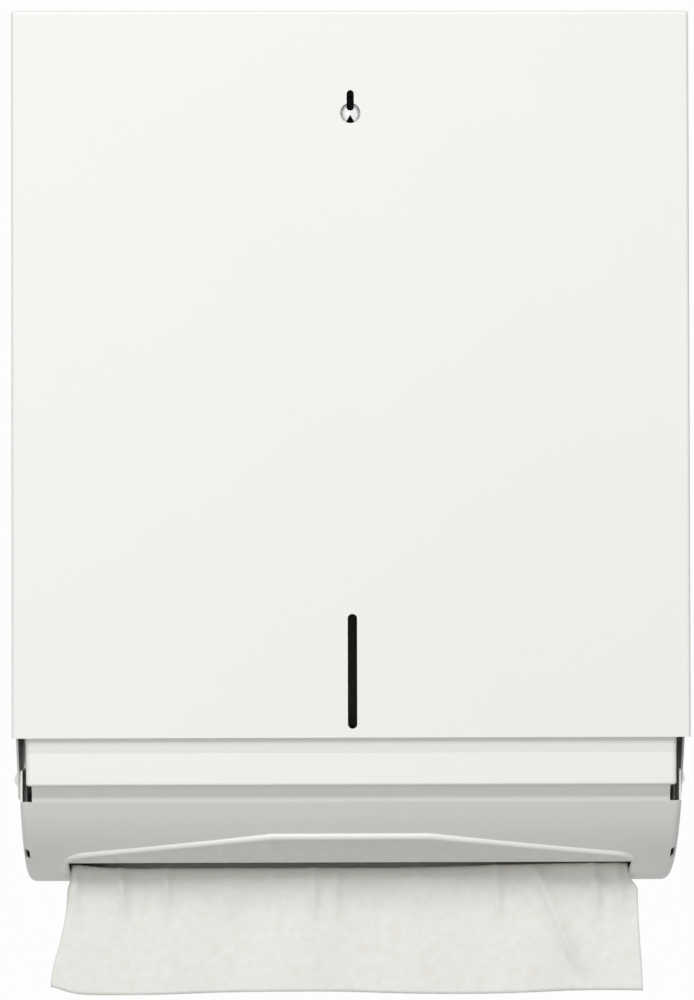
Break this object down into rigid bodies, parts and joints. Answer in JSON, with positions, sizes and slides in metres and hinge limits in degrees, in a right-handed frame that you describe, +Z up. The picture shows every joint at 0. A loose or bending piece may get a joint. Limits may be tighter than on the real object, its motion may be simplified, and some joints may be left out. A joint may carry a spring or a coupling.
{
  "type": "wall-mounted folded paper towel dispenser",
  "caption": "White sheet steel wall cabinet for folded paper towels, with a locking cover that swings down on two rivets and a towel hanging from a wide mouth.",
  "frame": {"origin": "on the wall, at the centre of the four wall screw holes", "axes": "+Z up; +Y out of the back, into the wall; the cover faces -Y"},
  "size_m": [0.2932, 0.102, 0.425],
  "materials": {
    "white_enamel": "satin",
    "zinc_steel": "satin",
    "rivet_steel": "satin",
    "spring_steel": "satin",
    "bright_chrome": "polished",
    "bumper_rubber": "matte",
    "towel_paper": "matte"
  },
  "bodies": {
    "cabinet": {"cabinet_shell": "white_enamel", "towel_tray": "white_enamel", "tray_rivets": "zinc_steel", "strike_plate": "zinc_steel", "strike_rivets": "zinc_steel", "top_bumpers": "bumper_rubber", "hinge_rivet_left": "rivet_steel", "hinge_rivet_right": "rivet_steel", "hinge_spacer_left": "rivet_steel", "hinge_spacer_right": "rivet_steel", "hinge_burr_left": "zinc_steel", "hinge_burr_right": "zinc_steel", "folded_towels": "towel_paper", "hanging_towel": "towel_paper"},
    "front_cover": {"cover_shell": "white_enamel", "lock_case": "zinc_steel", "lock_back_plate": "spring_steel", "lock_rivets": "zinc_steel", "key_post": "bright_chrome", "bolt_spring": "spring_steel"},
    "latch": {"latch_bolt": "spring_steel"}
  },
  "joints": [
    {"name": "cover_hinge", "type": "hinge", "parent": "cabinet", "child": "front_cover", "pos_m": [0, -0.052, -0.1547], "axis": [1, 0, 0], "range_deg": [0, 100]},
    {"name": "bolt_slide", "type": "slide", "parent": "front_cover", "child": "latch", "axis": [0, 0, 1], "range_m": [-0.006, 0], "stiffness_N_per_m": 300, "springref_m": 0.004, "deforming": ["bolt_spring"]}
  ]
}
